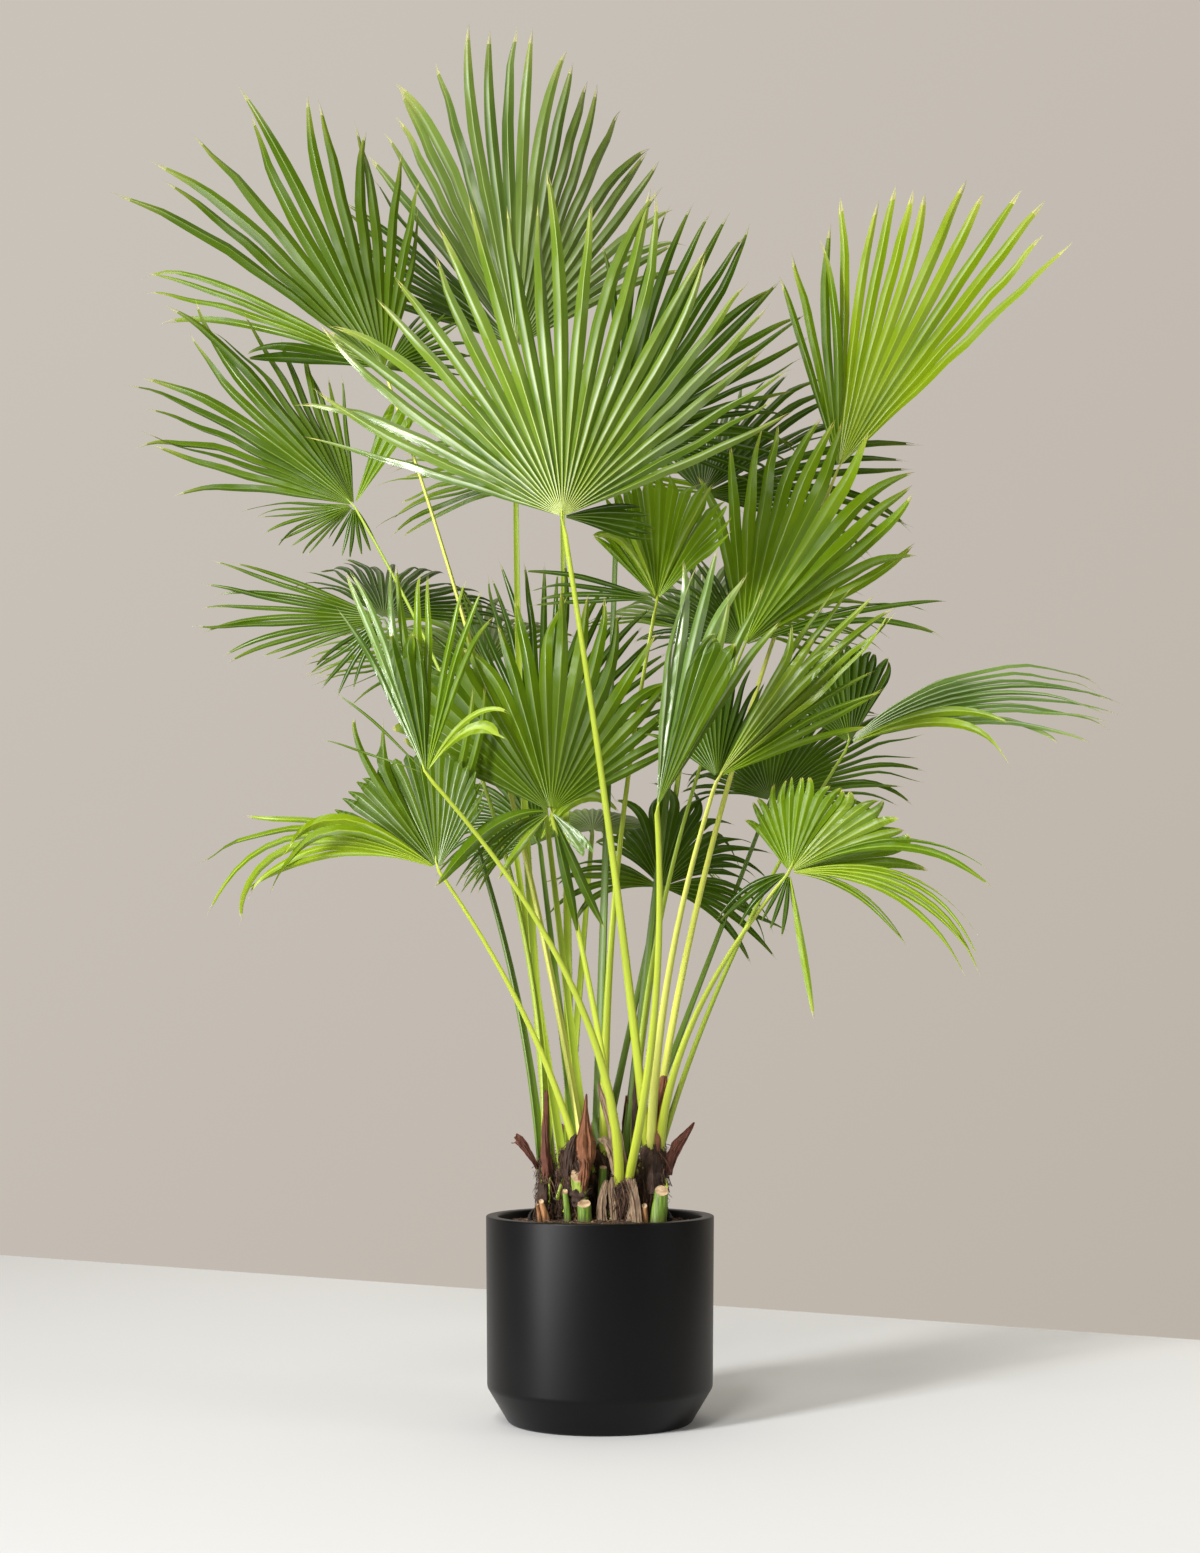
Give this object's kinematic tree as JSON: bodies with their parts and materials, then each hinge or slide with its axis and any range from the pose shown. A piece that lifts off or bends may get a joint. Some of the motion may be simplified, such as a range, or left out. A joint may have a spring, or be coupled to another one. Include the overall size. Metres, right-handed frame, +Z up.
{
  "type": "potted chinese fan palm",
  "caption": "Multi-stemmed fan palm with pleated, split leaf blades on long stalks, in a round black planter with a chamfered foot; a floor-standing indoor plant.",
  "frame": {"origin": "centre of the planter's flat underside", "axes": "+Z up, the best side faces -Y, +X to the viewer's right"},
  "size_m": [1.3604, 1.0942, 1.9819],
  "materials": {
    "planter": "matt black",
    "soil": "loose bark potting mix",
    "grow_pot": "thin black nursery pot",
    "stem": "brown fibre and sheaths",
    "stalk": "smooth yellow green",
    "blade": "waxy pleated leaf"
  },
  "bodies": {
    "root": {"planter": "planter", "soil": "soil", "grow_pot_rim": "grow_pot", "stem_left": "stem", "stem_left_middle": "stem", "stem_middle": "stem", "stem_front": "stem", "stem_right": "stem", "stem_back_right": "stem", "stem_back_left": "stem", "top_stalk": "stalk", "top_blade": "blade", "upper_left_stalk": "stalk", "upper_left_blade": "blade", "big_centre_stalk": "stalk", "big_centre_blade": "blade", "right_bright_stalk": "stalk", "right_bright_blade": "blade", "upper_right_dark_stalk": "stalk", "upper_right_dark_blade": "blade", "right_behind_stalk": "stalk", "right_behind_blade": "blade", "middle_left_stalk": "stalk", "middle_left_blade": "blade", "middle_right_stalk": "stalk", "middle_right_blade": "blade", "small_middle_stalk": "stalk", "small_middle_blade": "blade", "arching_left_stalk": "stalk", "arching_left_blade": "blade", "upright_left_stalk": "stalk", "upright_left_blade": "blade", "lower_left_stalk": "stalk", "lower_left_blade": "blade", "front_centre_stalk": "stalk", "front_centre_blade": "blade", "behind_centre_stalk": "stalk", "behind_centre_blade": "blade", "narrow_front_stalk": "stalk", "narrow_front_blade": "blade", "folded_right_stalk": "stalk", "folded_right_blade": "blade", "arching_right_stalk": "stalk", "arching_right_blade": "blade", "lower_right_stalk": "stalk", "lower_right_blade": "blade", "low_centre_stalk": "stalk", "low_centre_blade": "blade", "low_right_stalk": "stalk", "low_right_blade": "blade", "low_left_stalk": "stalk", "low_left_blade": "blade", "back_top_stalk": "stalk", "back_top_blade": "blade", "back_right_stalk": "stalk", "back_right_blade": "blade", "back_left_stalk": "stalk", "back_left_blade": "blade", "back_low_stalk": "stalk", "back_low_blade": "blade"}
  },
  "joints": []
}
